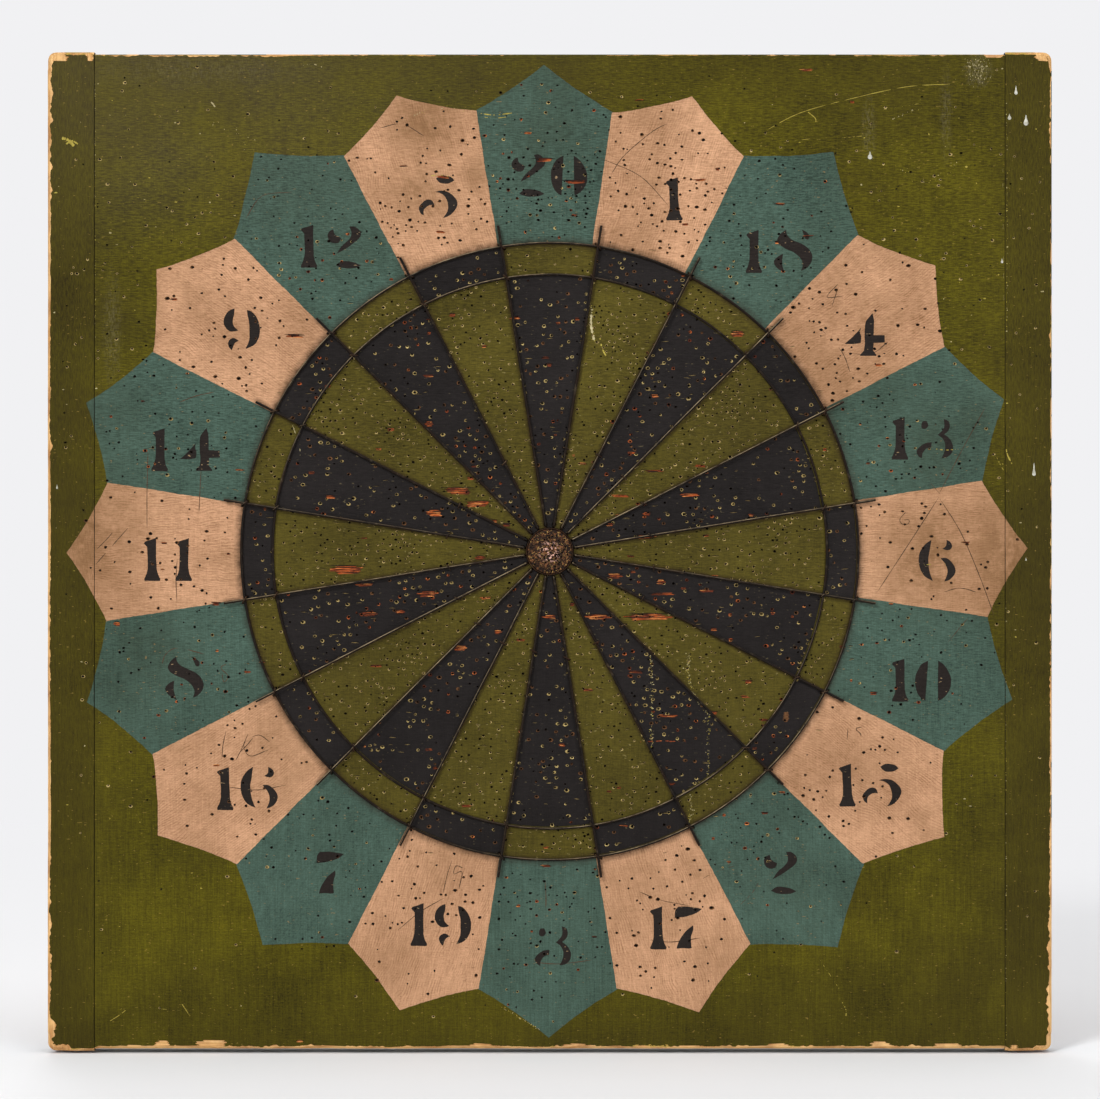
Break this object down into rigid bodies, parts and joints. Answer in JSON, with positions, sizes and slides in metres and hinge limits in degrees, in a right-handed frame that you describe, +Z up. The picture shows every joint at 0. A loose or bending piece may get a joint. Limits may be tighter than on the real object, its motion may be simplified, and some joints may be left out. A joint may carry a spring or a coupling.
{
  "type": "dart board",
  "caption": "Square painted wooden dart board on cleats, with a stapled wire spider over its sectors, a plugged bull and a swinging hanger ring on the back.",
  "frame": {"origin": "centre of the base of the bounding box, between the lower ends of the cleats", "axes": "+Z up along the cleats, -Y out of the painted face, +X to the right of someone facing it"},
  "size_m": [0.5534, 0.0295, 0.5505],
  "materials": {
    "painted_pine": "brushed oil paint, worn to bare pine at the edges",
    "bull_cork": "worn cork, full of dart holes",
    "spider_wire": "rusted drawn wire",
    "staple_wire": "dull bright wire",
    "hanger_steel": "tarnished plated steel"
  },
  "bodies": {
    "board": {"left_cleat": "painted_pine", "right_cleat": "painted_pine", "top_board": "painted_pine", "middle_board": "painted_pine", "bottom_board": "painted_pine", "bull_plug": "bull_cork", "bull_ferrule": "spider_wire", "outer_ring_wire": "spider_wire", "inner_ring_wire": "spider_wire", "radial_wire_01": "spider_wire", "radial_wire_02": "spider_wire", "radial_wire_03": "spider_wire", "radial_wire_04": "spider_wire", "radial_wire_05": "spider_wire", "radial_wire_06": "spider_wire", "radial_wire_07": "spider_wire", "radial_wire_08": "spider_wire", "radial_wire_09": "spider_wire", "radial_wire_10": "spider_wire", "radial_wire_11": "spider_wire", "radial_wire_12": "spider_wire", "radial_wire_13": "spider_wire", "radial_wire_14": "spider_wire", "radial_wire_15": "spider_wire", "radial_wire_16": "spider_wire", "radial_wire_17": "spider_wire", "radial_wire_18": "spider_wire", "radial_wire_19": "spider_wire", "radial_wire_20": "spider_wire", "ring_staple_01": "staple_wire", "ring_staple_02": "staple_wire", "ring_staple_03": "staple_wire", "ring_staple_04": "staple_wire", "ring_staple_05": "staple_wire", "ring_staple_06": "staple_wire", "ring_staple_07": "staple_wire", "ring_staple_08": "staple_wire", "ring_staple_09": "staple_wire", "ring_staple_10": "staple_wire", "ring_staple_11": "staple_wire", "ring_staple_12": "staple_wire", "ring_staple_13": "staple_wire", "ring_staple_14": "staple_wire", "ring_staple_15": "staple_wire", "ring_staple_16": "staple_wire", "ring_staple_17": "staple_wire", "ring_staple_18": "staple_wire", "ring_staple_19": "staple_wire", "ring_staple_20": "staple_wire", "hanger_strap": "hanger_steel", "hanger_screw_upper": "hanger_steel", "hanger_screw_lower": "hanger_steel"},
    "ring": {"hanger_ring": "hanger_steel"}
  },
  "joints": [
    {"name": "ring_swing", "type": "hinge", "parent": "board", "child": "ring", "pos_m": [0, 0.01222, 0.5043], "axis": [1, 0, 0], "range_deg": [0, 180]}
  ]
}
